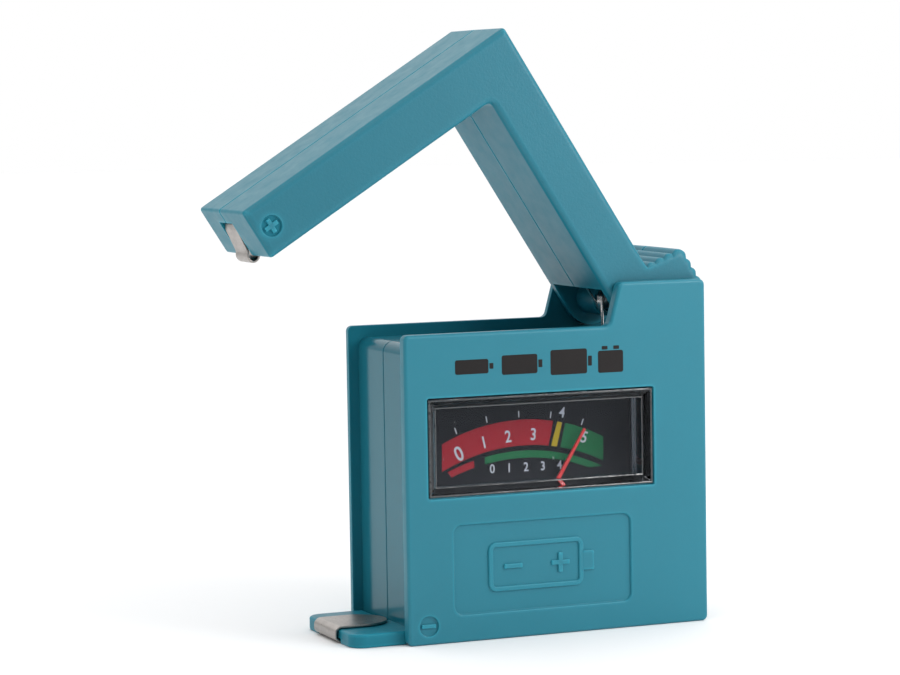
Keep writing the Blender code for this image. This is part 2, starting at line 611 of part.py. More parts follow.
def main():
    clear_scene()
    teal = material("teal_plastic", (0.045, 0.26, 0.35), 0.42)
    clear = material("clear_plastic", (0.92, 0.95, 0.96), 0.08, alpha=0.3, transmission=0.9)
    black = material("black_plastic", (0.02, 0.021, 0.024), 0.5)
    dial = material("dial_print", (0.03, 0.03, 0.034), 0.55)
    nickel = material("nickel_strip", (0.6, 0.57, 0.53), 0.3, 1.0)
    steel = material("steel", (0.55, 0.55, 0.56), 0.32, 1.0)
    spring = material("spring_steel", (0.62, 0.61, 0.6), 0.25, 1.0)
    brass = material("brass", (0.72, 0.52, 0.22), 0.35, 1.0)
    bronze = material("hairspring_bronze", (0.6, 0.36, 0.17), 0.35, 1.0)
    copper = material("enamelled_copper", (0.45, 0.14, 0.05), 0.35, 1.0)
    aluminium = material("aluminium", (0.7, 0.7, 0.71), 0.35, 1.0)
    magnet = material("magnet_alloy", (0.2, 0.2, 0.21), 0.5, 1.0)
    red = material("pointer_red", (0.75, 0.03, 0.025), 0.4)
    board = material("board_phenolic", (0.33, 0.17, 0.06), 0.6)
    ceramic = material("resistor_body", (0.62, 0.5, 0.33), 0.5)
    lead = material("lead_red", (0.5, 0.03, 0.03), 0.45)
    white = material("lead_white", (0.7, 0.69, 0.66), 0.45)

    make_front_cover(teal)
    make_rear_cover(teal)
    for i, (x, z) in enumerate(SCREWS):
        make_screw(f"case_screw_{i + 1}", x, z, steel)
    make_negative_contact(nickel)
    make_nine_volt_contact("nine_volt_contact_lower", NINE_VOLT_Z[0], nickel)
    make_nine_volt_contact("nine_volt_contact_upper", NINE_VOLT_Z[1], nickel)
    pin = disc("hinge_pin", PIVOT_X, PIVOT_Z, PIN_RADIUS, FRONT_INSIDE - 0.9, REAR_INSIDE + 0.7, 32)
    finish(pin, steel, smooth=35)
    make_torsion_spring(spring)

    make_window_lens(clear)
    make_dial_plate(dial)
    make_meter_frame(black)
    make_magnet(magnet)
    make_core(steel)
    make_bridge("front_bridge", -8.1, -7.5, brass)
    make_bridge("rear_bridge", 6.1, 6.7, brass)
    make_jewel("front_jewel", -9.2, -7.3, (-10, -8.8), brass)
    make_jewel("rear_jewel", 6.4, 8.0, (7.6, 9), brass)
    make_zero_adjuster(brass)
    make_hairspring("hairspring_front", -4.4, -math.pi / 2, bronze)
    make_hairspring("hairspring_rear", 5.78, math.pi / 2, bronze)

    spindle = axis("pointer_axis", METER_X, METER_Z, POINTER_REST)
    make_moving_coil(copper, spindle)
    make_spindle("spindle_front", -3.15, -7.1, aluminium, spindle)
    make_spindle("spindle_rear", 5.15, 6.2, aluminium, spindle)
    make_pointer(red, spindle)
    make_balance_weight(brass, spindle)

    make_circuit_board(board)
    make_resistor("load_resistor_1", 6.5, 27.5, ceramic)
    make_resistor("load_resistor_2", 11.0, 27.5, ceramic)
    wire("lead_negative", [(-18.9, -2.4, 5.0), (-16.8, 0.5, 3.6), (-12.0, 7.0, 3.8), (-5.0, 9.1, 8.0),
                           (-2.5, 9.2, 20.0), (-1.2, 9.0, 25.0), (1.1, 8.9, 27.0)], 0.45, black)
    wire("lead_positive", [(12.4, 0.2, 38.9), (12.6, 2.0, 37.4), (13.2, 6.0, 35.9), (13.5, 8.9, 33.9)],
         0.45, lead)
    wire("lead_meter", [(2.2, 8.9, 20.1), (1.0, 8.7, 18.9), (-1.2, 7.4, 18.1), (-2.5, 5.9, 17.7)],
         0.35, white)
    wire("lead_nine_volt_lower", [(17.75, -4.5, 9.5), (17.2, -1.0, 10.0), (17.2, 4.0, 13.0),
                                  (17.5, 8.2, 17.5), (17.5, 8.9, 20.1)], 0.45, lead)
    wire("lead_nine_volt_upper", [(17.75, -4.5, 22.2), (17.0, -2.0, 22.6), (15.8, 2.5, 24.2),
                                  (15.4, 7.85, 25.0)], 0.45, black)

    pivot = axis("arm_axis", PIVOT_X, PIVOT_Z, ARM_OPEN)
    make_arm_half("arm_front", ARM_FRONT, ARM_SEAM_FRONT, -4.5, teal, pivot)
    make_arm_half("arm_rear", ARM_REAR, ARM_SEAM_REAR, 2.5, teal, pivot)
    make_arm_contact(nickel, pivot)


main()
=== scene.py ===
import math

import bmesh
import bpy
from mathutils import Matrix, Vector


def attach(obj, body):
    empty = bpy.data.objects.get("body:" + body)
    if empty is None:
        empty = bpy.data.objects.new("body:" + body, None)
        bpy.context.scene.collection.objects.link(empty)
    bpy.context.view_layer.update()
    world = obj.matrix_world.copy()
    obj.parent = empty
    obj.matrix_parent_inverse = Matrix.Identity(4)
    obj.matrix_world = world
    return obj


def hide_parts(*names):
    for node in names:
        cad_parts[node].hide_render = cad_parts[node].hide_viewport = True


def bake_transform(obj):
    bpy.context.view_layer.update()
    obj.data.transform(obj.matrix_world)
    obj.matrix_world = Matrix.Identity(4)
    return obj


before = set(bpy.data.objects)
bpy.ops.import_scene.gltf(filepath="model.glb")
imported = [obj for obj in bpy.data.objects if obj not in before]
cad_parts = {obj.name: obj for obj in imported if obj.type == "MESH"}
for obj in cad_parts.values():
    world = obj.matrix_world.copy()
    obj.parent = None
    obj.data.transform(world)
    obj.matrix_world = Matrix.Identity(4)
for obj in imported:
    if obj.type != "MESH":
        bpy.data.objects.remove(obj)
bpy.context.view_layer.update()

MM = 0.001

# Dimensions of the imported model, in millimetres.
HALF = 23.05
LEFT_HEIGHT = 42.9
TAB_HEIGHT = 49.0
NOTCH_FOOT_X, NOTCH_TOP_X = 7.95, 9.65
FRONT_FACE, FRONT_INSIDE = -11.5, -9.8
REAR_FACE, REAR_INSIDE = 11.5, 10.2
SEAM_FRONT, SEAM_REAR = 0.3, 0.5
BLOCK_HALF, BLOCK_TOP, WALL = 21.55, 41.3, 1.2
FOOT_LEFT, FOOT_THICK, FOOT_FRONT, FOOT_REAR = -30.6, 1.95, -9.6, 9.7
WINDOW = (-19.8, 14.7, 20.15, 34.1)
PANEL = (-16.1, 10.85, 3.85, 16.3)
RELIEF = 0.35
PRINT = 0.012
PIVOT_X, PIVOT_Z = 14.43, 45.6
ARM_OPEN = math.radians(57.66)
ARM_FRONT, ARM_SEAM_FRONT, ARM_SEAM_REAR, ARM_REAR = -9.4, 0.9, 1.1, 9.8
ARM_OUTER_X, ARM_INNER_X = -44.3, -36.7
ARM_TOP_Z, ARM_UNDER_Z, ARM_TIP_Z = 3.45, -4.0, -42.44
ARM_WALL, CHEEK, ARM_DRAFT, ARM_TRIM = 1.2, 1.4, 0.03, 0.01
HUB_RADIUS, CHEEK_FROM_X = 3.95, -5.1
TAB_LEFT_X, TAB_CREST, RIDGE_HEIGHT = -4.1, 9.3, 0.35
BOSS_RADIUS, PIN_HOLE = 2.35, 1.27
METER_X, METER_Z = -2.57, 13.3
POINTER_REST = math.radians(31.6)
DIAL_FACE, POINTER_Y, POINTER_LENGTH = -4.5, -5.6, 17.3
SCREWS = ((-17.6, 9.6), (17.7, 4.4), (-17.9, 37.3))
NINE_VOLT_Z = (9.5, 22.2)


# Shapes -----------------------------------------------------------------------------------------------


def outline(corners, inset=0.0, steps=8):
    """Closed polygon from corners (x, z, radius), moved inwards by inset."""
    points = []
    for i, (x, z, radius) in enumerate(corners):
        here = Vector((x, z))
        arrive = (here - Vector(corners[i - 1][:2])).normalized()
        leave = (Vector(corners[(i + 1) % len(corners)][:2]) - here).normalized()
        left_in, left_out = Vector((-arrive.y, arrive.x)), Vector((-leave.y, leave.x))
        here = here + (left_in + left_out) * (inset / (1 + left_in.dot(left_out)))
        if radius == 0:
            points.append(here)
            continue
        turn = math.atan2(arrive.x * leave.y - arrive.y * leave.x, arrive.dot(leave))
        side = math.copysign(1, turn)
        radius = max(radius - side * inset, 0.02)
        start = here - arrive * radius * math.tan(abs(turn) / 2)
        centre = start + left_in * radius * side
        for k in range(steps + 1):
            points.append(centre + Matrix.Rotation(turn * k / steps, 2) @ (start - centre))
    return points


def cornered(*corners):
    """Shape: a function that gives the outline of these corners for any inset."""
    return lambda inset=0.0: outline(corners, inset)


def rectangle(x0, x1, z0, z1, radius=0.0):
    """Corners of a rectangle, in the order that outline takes."""
    return (x0, z0, radius), (x1, z0, radius), (x1, z1, radius), (x0, z1, radius)


def block(x0, x1, z0, z1, radius=0.0):
    """Shape: a rectangle with rounded corners."""
    return cornered(*rectangle(x0, x1, z0, z1, radius))


def ring(x, z, radius, sides=48):
    """Shape: a circle."""
    def shape(inset=0.0):
        r = radius - inset
        return [Vector((x + r * math.cos(2 * math.pi * k / sides), z + r * math.sin(2 * math.pi * k / sides)))
                for k in range(sides)]
    return shape


def fillet(radius, steps=5):
    """(inset, depth) pairs of a quarter round, from a face to the side at right angles to it."""
    if not radius:
        return [(0.0, 0.0)]
    angles = [math.pi / 2 * k / steps for k in range(steps + 1)]
    return [(radius * (1 - math.sin(a)), radius * (1 - math.cos(a))) for a in angles]


def along_y(point, height):
    return point[0], height, point[1]


def along_z(point, height):
    return point[0], point[1], height


def along_x(point, height):
    return height, point[0], point[1]


def object_from(name, bm):
    """Object in the scene, with outward faces, from a finished bmesh."""
    bmesh.ops.recalc_face_normals(bm, faces=bm.faces)
    mesh = bpy.data.meshes.new(name)
    bm.to_mesh(mesh)
    bm.free()
    made = bpy.data.objects.new(name, mesh)
    bpy.context.scene.collection.objects.link(made)
    return made


def skin(bm, rings, cyclic=False):
    """Side faces between each ring of vertices and the next."""
    pairs = list(zip(rings, rings[1:])) + ([(rings[-1], rings[0])] if cyclic else [])
    for one, two in pairs:
        for i in range(len(one)):
            j = (i + 1) % len(one)
            bm.faces.new((one[i], one[j], two[j], two[i]))


def loft(name, loops, place=along_y, cyclic=False):
    """Solid through loops of (points, height). A cyclic one closes on itself and has no caps."""
    bm = bmesh.new()
    rings = [[bm.verts.new(Vector(place(p, h)) * MM) for p in points] for points, h in loops]
    skin(bm, rings, cyclic)
    if not cyclic:
        bm.faces.new(rings[0])
        bm.faces.new(rings[-1])
    return object_from(name, bm)


def slab(name, shape, low, high, low_edge=0.0, high_edge=0.0, place=along_y):
    """Solid between two heights, with its edges rounded at either end."""
    up = math.copysign(1, high - low)
    loops = [(shape(i), low + up * d) for i, d in fillet(low_edge)]
    loops += [(shape(i), high - up * d) for i, d in reversed(fillet(high_edge))]
    return loft(name, loops, place)


def pocket(name, shape, face, depth, mouth=0.0, floor=0.0, place=along_y):
    """Cutter for a recess from a face, with a rounded mouth and a rounded floor."""
    into = math.copysign(1, depth)
    loops = [(shape(-mouth), face - into)]
    loops += [(shape(-i), face + into * (d + 0.002)) for i, d in fillet(mouth)]
    loops += [(shape(i), face + depth - into * d) for i, d in reversed(fillet(floor))]
    return loft(name, loops, place)


def moulding(name, shape, base, top, half, edge):
    """Raised line of width 2 half along a closed outline, with a rounded crest."""
    up = math.copysign(1, top - base)
    rise = [(-half + i, top - up * d) for i, d in reversed(fillet(edge))]
    section = [(-half, base), *rise, *((-i, h) for i, h in reversed(rise)), (half, base)]
    return loft(name, [(shape(i), h) for i, h in section], cyclic=True)


def apply_boolean(target, tool, operation):
    modifier = target.modifiers.new(operation.title(), "BOOLEAN")
    modifier.operation = operation
    modifier.solver = "EXACT"
    modifier.object = tool
    graph = bpy.context.evaluated_depsgraph_get()
    mesh = bpy.data.meshes.new_from_object(target.evaluated_get(graph))
    target.modifiers.clear()
    target.data = mesh
    bpy.data.objects.remove(tool, do_unlink=True)


def cut(target, *tools):
    for tool in tools:
        apply_boolean(target, tool, "DIFFERENCE")


def add(target, *tools):
    for tool in tools:
        apply_boolean(target, tool, "UNION")


def rounded_path(points, radius, steps=6):
    """Polyline whose inner corners are replaced by arcs of about this radius."""
    points = [Vector(p) for p in points]
    path = [points[0]]
    for before, here, after in zip(points, points[1:], points[2:]):
        arrive, leave = (here - before), (after - here)
        turn = arrive.angle(leave, 0.0)
        reach = min(radius * math.tan(turn / 2), arrive.length * 0.45, leave.length * 0.45)
        start, end = here - arrive.normalized() * reach, here + leave.normalized() * reach
        for k in range(steps + 1):
            t = k / steps
            path.append(start * (1 - t) ** 2 + here * 2 * t * (1 - t) + end * t * t)
    path.append(points[-1])
    return path


def strip_section(half, thick, edge=0.06):
    return [(p.x, p.y) for p in outline(rectangle(-half, half, -thick, thick, edge), steps=3)]


def sweep(name, path, section):
    """Bar with this section, points (along Y, along the normal), carried along a path in millimetres."""
    side = Vector((0, 1, 0))
    bm = bmesh.new()
    rings = []
    for i, here in enumerate(path):
        ahead = Vector(path[min(i + 1, len(path) - 1)]) - Vector(path[max(i - 1, 0)])
        normal = ahead.cross(side).normalized()
        across = normal.cross(ahead).normalized()
        rings.append([bm.verts.new((Vector(here) + across * a + normal * n) * MM) for a, n in section])
    skin(bm, rings)
    bm.faces.new(rings[0])
    bm.faces.new(rings[-1])
    return object_from(name, bm)


def place_mesh(item, x, z, turn):
    """Turn a piece that was drawn about the origin, and move it to its pivot."""
    item.data.transform(Matrix.Translation((x * MM, 0, z * MM)) @ Matrix.Rotation(turn, 4, "Y"))


def cross(x, z, reach, half, low, high, radius, edge, upright=True):
    """Plus sign centred on x and z, or a minus sign without its upright."""
    made = slab("level", block(x - reach, x + reach, z - half, z + half, radius), low, high, edge)
    if upright:
        add(made, slab("upright", block(x - half, x + half, z - reach, z + reach, radius), low, high, edge))
    return made


# Materials --------------------------------------------------------------------------------------------


class Nodes:
    """A Principled material whose colour, roughness and bump are driven by noise in object space."""

    def __init__(self, name, **sockets):
        self.material = bpy.data.materials.new(name)
        self.material.use_nodes = True
        self.tree = self.material.node_tree
        self.shader = self.tree.nodes["Principled BSDF"]
        for socket, value in sockets.items():
            self.set(socket.replace("_", " "), value)
        self.place = self.add("ShaderNodeTexCoord").outputs["Object"]

    def set(self, socket, value):
        socket = self.shader.inputs[socket]
        if isinstance(value, bpy.types.NodeSocket):
            self.tree.links.new(value, socket)
        else:
            socket.default_value = value

    def add(self, kind, inputs=None, **settings):
        node = self.tree.nodes.new(kind)
        for name, value in settings.items():
            setattr(node, name, value)
        for name, value in (inputs or {}).items():
            if isinstance(value, bpy.types.NodeSocket):
                self.tree.links.new(value, node.inputs[name])
            else:
                node.inputs[name].default_value = value
        return node

    def noise(self, scale, detail=2.0, roughness=0.5, stretch=(1, 1, 1)):
        place = self.add("ShaderNodeMapping", {"Vector": self.place, "Scale": stretch}).outputs[0]
        return self.add("ShaderNodeTexNoise", {
            "Vector": place, "Scale": scale, "Detail": detail, "Roughness": roughness}).outputs["Fac"]

    def ranged(self, value, low, high, to_low, to_high):
        return self.add("ShaderNodeMapRange", {
            "Value": value, "From Min": low, "From Max": high,
            "To Min": to_low, "To Max": to_high}).outputs[0]

    def mix(self, factor, one, two):
        node = self.add("ShaderNodeMix", data_type="RGBA")
        for index, value in ((0, factor), (6, one), (7, two)):
            if isinstance(value, bpy.types.NodeSocket):
                self.tree.links.new(value, node.inputs[index])
            else:
                node.inputs[index].default_value = value if index == 0 else (*value[:3], 1.0)
        return node.outputs[2]

    def bump(self, height, strength, distance):
        return self.add("ShaderNodeBump", {
            "Height": height, "Strength": strength, "Distance": distance}).outputs[0]


def shade(colour, factor):
    """Lighter or darker colour."""
    return tuple(min(c * factor, 1.0) for c in colour)


def surface(name, colour, roughness, *, spread=0.08, cloud=70, grain=2600, relief=0.012, rough_spread=0.06,
            stretch=(1, 1, 1), edge=None, **sockets):
    """Finish with clouded colour, grain in the bump and uneven roughness.

    edge is a painted glow: a lighter colour painted where the plastic is thinner than a distance in
    millimetres, in place of the light that shines through thin plastic at its edges.
    """
    made = Nodes(name, **sockets)
    clouds = made.ranged(made.noise(cloud, 3.0, 0.55), 0.3, 0.7, 0.0, 1.0)
    fine = made.noise(grain, 3.0, 0.6, stretch)
    tint = made.mix(clouds, shade(colour, 1 - spread), shade(colour, 1 + spread))
    speckle = made.ranged(fine, 0.35, 0.65, 0.0, 0.5)
    tint = made.mix(speckle, tint, shade(colour, 1 + spread))
    # Painted glow: a lighter colour mixed in where the plastic is thin, standing in for light shining through
    # its edges.
    if edge:
        edge_glow_colour, distance = edge
        inside = made.add("ShaderNodeAmbientOcclusion", {"Distance": distance * MM}, inside=True, samples=6)
        thin = made.ranged(inside.outputs["AO"], 0.45, 0.95, 1.0, 0.0)
        tint = made.mix(thin, tint, edge_glow_colour)
    made.set("Base Color", tint)
    smear = made.noise(cloud * 6, 4.0, 0.6)
    made.set("Roughness", made.ranged(smear, 0.3, 0.7, roughness - rough_spread, roughness + rough_spread))
    made.set("Normal", made.bump(fine, 1.0, relief * MM))
    return made.material


def metal(name, colour, roughness, *, spread=0.1, cloud=200, grain=2200, relief=0.003, stretch=(1, 1, 1),
          rough_spread=0.08):
    return surface(name, colour, roughness, spread=spread, cloud=cloud, grain=grain, relief=relief,
                   stretch=stretch, rough_spread=rough_spread, Metallic=1.0)


TEAL = (0.0145, 0.188, 0.256)
# Painted shade: the arm's teal, darkened to stand in for the self-shadowing of its rough texture.
TEAL_SHADED = (0.0115, 0.16, 0.222)
# Painted edge glow: lighter teal for the light that shines through thin plastic.
PAINTED_EDGE_GLOW = (0.02, 0.3, 0.4)
SOFT = dict(Subsurface_Weight=0.12, Subsurface_Radius=(0.25, 0.9, 1.0), Subsurface_Scale=0.9 * MM, IOR=1.5)
satin = surface("teal_satin", TEAL, 0.42, spread=0.03, grain=2300, relief=0.004, edge=(PAINTED_EDGE_GLOW, 0.5),
                Specular_IOR_Level=0.4, **SOFT)
spark = surface("teal_spark", TEAL_SHADED, 0.46, spread=0.04, grain=2800, relief=0.03, edge=(PAINTED_EDGE_GLOW, 0.9),
                Specular_IOR_Level=0.4, **SOFT)
smooth = surface("teal_smooth", TEAL, 0.34, spread=0.03, grain=2300, relief=0.0015, edge=(PAINTED_EDGE_GLOW, 0.6),
                 Specular_IOR_Level=0.16, **SOFT)
# Painted shade: the glossy walls between the plates take the teal darkened to 0.8, for the shade that falls
# there.
polished_painted_shade = surface("teal_polished_painted_shade", shade(TEAL, 0.8), 0.16, spread=0.03, grain=400, relief=0.0005,
                   rough_spread=0.02, Specular_IOR_Level=0.16, **SOFT)
# Partly painted shade: the nickel is darker and browner than bare plating, standing in for the shade and dark
# reflection of a battery standing on the foot strip.
shaded_nickel = metal("nickel_strip", (0.35, 0.325, 0.305), 0.34, spread=0.16, cloud=420, relief=0.005,
               stretch=(1, 0.08, 1))
steel = metal("steel_plated", (0.5, 0.5, 0.51), 0.3)
spring_steel = metal("spring_steel", (0.6, 0.59, 0.58), 0.2, grain=1500)
brass = metal("brass_stamped", (0.68, 0.48, 0.2), 0.33)
bronze = metal("hairspring_bronze", (0.58, 0.34, 0.16), 0.3)
aluminium = metal("aluminium_turned", (0.66, 0.66, 0.68), 0.34, stretch=(1, 6, 1))
magnet = metal("magnet_alloy", (0.16, 0.16, 0.17), 0.5, spread=0.2, grain=1400, relief=0.02)
black = surface("black_plastic", (0.012, 0.0125, 0.014), 0.42, spread=0.15, grain=2400, relief=0.006)
DULL = dict(spread=0.06, cloud=220, grain=4200, relief=0.001, Specular_IOR_Level=0.1)
dial_black = surface("dial_black", (0.006, 0.006, 0.0075), 0.6, **DULL)
red_print = surface("print_red", (0.33, 0.013, 0.021), 0.5, **DULL)
yellow_print = surface("print_yellow", (0.42, 0.29, 0.014), 0.5, **DULL)
green_print = surface("print_green", (0.012, 0.135, 0.046), 0.5, **DULL)
grey_print = surface("print_grey", (0.5, 0.5, 0.53), 0.5, **DULL)
black_print = surface("print_black", (0.009, 0.007, 0.007), 0.45, spread=0.1, cloud=220, grain=3000,
                      relief=0.004, Specular_IOR_Level=0.25)
needle_red = surface("needle_red", (0.62, 0.02, 0.018), 0.32, spread=0.08, cloud=200, grain=3000,
                     relief=0.003)
board = surface("board_phenolic", (0.3, 0.155, 0.055), 0.55, spread=0.2, cloud=400, grain=1800, relief=0.01,
                stretch=(1, 1, 0.2))
lead_red = surface("lead_red", (0.45, 0.025, 0.025), 0.42, spread=0.1)
lead_white = surface("lead_white", (0.66, 0.65, 0.62), 0.42, spread=0.06)
lead_black = surface("lead_black", (0.016, 0.016, 0.018), 0.42, spread=0.1)


def make_copper():
    """Enamelled wire: fine windings side by side."""
    made = Nodes("enamelled_copper", Metallic=1.0)
    windings_and_groove_shade = made.add("ShaderNodeTexWave", {"Vector": made.place, "Scale": 1400.0, "Distortion": 0.4},
                     bands_direction="X").outputs["Fac"]
    # Painted shade: the copper is darker in the grooves between windings.
    made.set("Base Color", made.mix(windings_and_groove_shade, (0.2, 0.05, 0.018), (0.55, 0.19, 0.08)))
    made.set("Roughness", made.ranged(made.noise(600), 0.3, 0.7, 0.25, 0.42))
    made.set("Normal", made.bump(windings_and_groove_shade, 0.8, 0.03 * MM))
    return made.material


def make_resistor():
    """Lacquered body with colour bands across it."""
    made = Nodes("resistor_body", Coat_Weight=0.5, Coat_Roughness=0.15)
    height = made.add("ShaderNodeSeparateXYZ", {"Vector": made.place}).outputs["Z"]
    share = made.ranged(height, 24.5 * MM, 30.5 * MM, 0.0, 1.0)
    ramp = made.add("ShaderNodeValToRGB", {"Fac": share})
    ramp.color_ramp.interpolation = "CONSTANT"
    body, brown, gold = (0.55, 0.42, 0.26, 1), (0.3, 0.12, 0.04, 1), (0.6, 0.42, 0.12, 1)
    bands = [(0.0, body), (0.12, brown), (0.2, body), (0.34, (0.02, 0.02, 0.02, 1)), (0.42, body),
             (0.52, brown), (0.6, body), (0.8, gold), (0.88, body)]
    for position, colour in bands[2:]:
        ramp.color_ramp.elements.new(position)
    for element, (position, colour) in zip(ramp.color_ramp.elements, bands):
        element.position, element.color = position, colour
    clouds = made.noise(500, 3.0)
    dirt = made.ranged(clouds, 0.3, 0.7, 0.0, 0.12)
    made.set("Base Color", made.mix(dirt, ramp.outputs[0], (0.2, 0.12, 0.06)))
    made.set("Roughness", made.ranged(clouds, 0.3, 0.7, 0.35, 0.5))
    made.set("Normal", made.bump(made.noise(1800), 1.0, 0.005 * MM))
    return made.material


def make_clear():
    """Clear moulded window: faint waves in the surface and a few dust specks."""
    made = Nodes("clear_plastic", Transmission_Weight=1.0, IOR=1.49, Specular_Tint=(0.22, 0.235, 0.26, 1))
    waves = made.noise(260, 2.0, 0.5)
    dust = made.ranged(made.noise(900, 1.0, 0.3), 0.79, 0.83, 0.0, 1.0)
    made.set("Base Color", made.mix(dust, (0.87, 0.92, 0.97), (0.8, 0.82, 0.84)))
    made.set("Roughness", made.ranged(dust, 0.0, 1.0, 0.015, 0.3))
    made.set("Normal", made.bump(waves, 1.0, 0.03 * MM))
    return made.material


def make_rim():
    """The window's wavy, worn rims, drawn as opaque plastic painted near black for the shade seen through the
    clear edge, where the light breaks up into streaks.
    """
    made = Nodes("rim_painted_dark", IOR=1.8)
    scratches = made.noise(900, 3.0, 0.6, stretch=(0.3, 1, 2))
    made.set("Base Color", made.mix(scratches, (0.006, 0.009, 0.012), (0.02, 0.028, 0.034)))
    made.set("Roughness", made.ranged(scratches, 0.35, 0.65, 0.05, 0.2))
    made.set("Normal", made.bump(scratches, 1.0, 0.16 * MM))
    return made.material


copper = make_copper()
resistor = make_resistor()
clear = make_clear()
rim = make_rim()

NODE_LOOKS = {
    "hinge_pin": steel, "meter_frame": black, "meter_magnet": magnet, "meter_core": steel,
    "front_bridge": brass, "rear_bridge": brass, "front_jewel": brass, "rear_jewel": brass,
    "zero_adjuster": brass, "hairspring_front": bronze, "hairspring_rear": bronze, "moving_coil": copper,
    "spindle_front": aluminium, "spindle_rear": aluminium, "balance_weight": brass, "circuit_board": board,
    "load_resistor_1": resistor, "load_resistor_2": resistor, "lead_negative": lead_black,
    "lead_positive": lead_red, "lead_meter": lead_white, "lead_nine_volt_lower": lead_red,
    "lead_nine_volt_upper": lead_black,
}
for name, node_look in NODE_LOOKS.items():
    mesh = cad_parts[name].data
    mesh.materials.clear()
    mesh.materials.append(node_look)


# Pieces -----------------------------------------------------------------------------------------------


def finish(item, looks, body, nodes=(), choose=None, angle=32):
    """Materials, smooth shading with crisp creases, and the CAD body that the piece rides on.

    choose takes a face's centre in millimetres and gives the index of its look.
    """
    mesh = item.data
    mesh.name = item.name
    mesh.materials.clear()
    for one in looks if isinstance(looks, (list, tuple)) else [looks]:
        mesh.materials.append(one)
    if choose:
        for face in mesh.polygons:
            face.material_index = choose(face.center / MM)
    mesh.shade_smooth()
    mesh.set_sharp_from_angle(angle=math.radians(angle))
    weighted = item.modifiers.new("WeightedNormal", "WEIGHTED_NORMAL")
    weighted.keep_sharp = True
    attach(item, body)
    if nodes:
        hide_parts(*nodes)


PLATE = cornered(
    (-HALF, 0, 0.8), (HALF, 0, 0.8), (HALF, TAB_HEIGHT, 0.9), (NOTCH_TOP_X, TAB_HEIGHT, 0.9),
    (NOTCH_FOOT_X, LEFT_HEIGHT, 1.0), (-HALF, LEFT_HEIGHT, 0.8),
)
BLOCK = cornered((-BLOCK_HALF, 0, 0), (BLOCK_HALF, 0, 0), (BLOCK_HALF, BLOCK_TOP, 1.6),
                 (-BLOCK_HALF, BLOCK_TOP, 1.6))
CAVITY = cornered((-BLOCK_HALF, 0, 1.8), (BLOCK_HALF, 0, 1.8), (BLOCK_HALF, BLOCK_TOP, 1.6),
                  (-BLOCK_HALF, BLOCK_TOP, 1.6))


def shell(name, outer_face, inner_face, seam):
    """Half of the case: an outer plate, and its half of the narrower hollow block."""
    into = math.copysign(1, inner_face - outer_face)
    made = slab(name, PLATE, outer_face, inner_face, 0.5, 0.15)
    add(made, slab("block", BLOCK, inner_face - into * 0.2, seam, 0, 0.1))
    cut(made, slab("cavity", lambda inset=0.0: CAVITY(WALL + inset), inner_face, seam + into))
    return made


def case_finish(centre):
    """0 on the outer plates, 1 on the glossy walls between them, whose teal is painted darker for the shade
    there, 2 on the foot.
    """
    if centre.y < FRONT_INSIDE - 0.05 or centre.y > REAR_INSIDE + 0.05:
        return 0
    return 2 if centre.x < -BLOCK_HALF - 0.1 else 1


def make_front_cover():
    """Front shell with its window opening, sunk panel and raised symbols, and the foot."""
    face = FRONT_FACE + PRINT
    made = shell("front_shell", face, FRONT_INSIDE, SEAM_FRONT)
    cut(made, pocket("opening", block(*WINDOW, 0.3), face, 3.0, 0.12))
    cut(made, pocket("panel", block(*PANEL, 1.2), face, RELIEF, 0.22, 0.12))
    crest, rooted = face + 0.06, face + RELIEF + 0.2
    mark_x, mark_z = -20.03, 2.62
    cut(made, pocket("mark", ring(mark_x, mark_z, 1.4), face, RELIEF, 0.12, 0.1))
    add(made, cross(mark_x, mark_z, 1.05, 0.27, crest, rooted, 0.1, 0.1, upright=False))
    # Raised cell symbol on the panel: body, terminal nub and the two polarity signs.
    symbol_z = 10.1
    body = block(-10.6, 3.2, symbol_z - 3.1, symbol_z + 3.1, 0.8)
    add(made, moulding("cell", body, rooted, crest, 0.36, 0.2))
    add(made, slab("nub", block(3.4, 5.2, symbol_z - 1.4, symbol_z + 1.4, 0.3), crest, rooted, 0.15))
    for x, upright in ((-7.2, False), (0.0, True)):
        add(made, cross(x, symbol_z, 1.4, 0.35, crest, rooted, 0.15, 0.15, upright))
    foot = cornered(
        (FOOT_LEFT, FOOT_FRONT, 2.2), (-BLOCK_HALF + 0.7, FOOT_FRONT, 0), (-BLOCK_HALF + 0.7, SEAM_FRONT, 0),
        (-BLOCK_HALF - 0.3, SEAM_FRONT, 0), (-BLOCK_HALF - 0.3, FOOT_REAR, 0), (FOOT_LEFT, FOOT_REAR, 2.2),
    )
    add(made, slab("foot", foot, 0, FOOT_THICK, 0.3, 0.35, place=along_z))
    # Room under the foot for the negative contact, and a slot where its tail turns up into the block.
    cut(made, slab("trough", block(FOOT_LEFT - 1, -19.3, -4.7, -0.1), -1, 0.75, place=along_z))
    cut(made, slab("trough_mouth", block(FOOT_LEFT - 1, -25.5, -4.75, 4.7), -1, 0.75, place=along_z))
    cut(made, slab("tail_slot", block(-20.1, -19.3, -4.7, -0.1), 0.5, 2, place=along_z))
    cut(made, slab("pin_hole", ring(PIVOT_X, PIVOT_Z, PIN_HOLE), FRONT_INSIDE - 0.95, FRONT_INSIDE + 1))
    cut(made, slab("spring_notch", block(11.7, 12.8, BLOCK_TOP - 2, BLOCK_TOP + 1), -0.5, 1))
    for z in NINE_VOLT_Z:
        cut(made, slab("contact_slot", block(BLOCK_HALF - 2, BLOCK_HALF + 1, z - 0.5, z + 0.5), -6.2, -2.8))
    finish(made, [satin, polished_painted_shade, smooth], "case", ["front_cover"], case_finish)


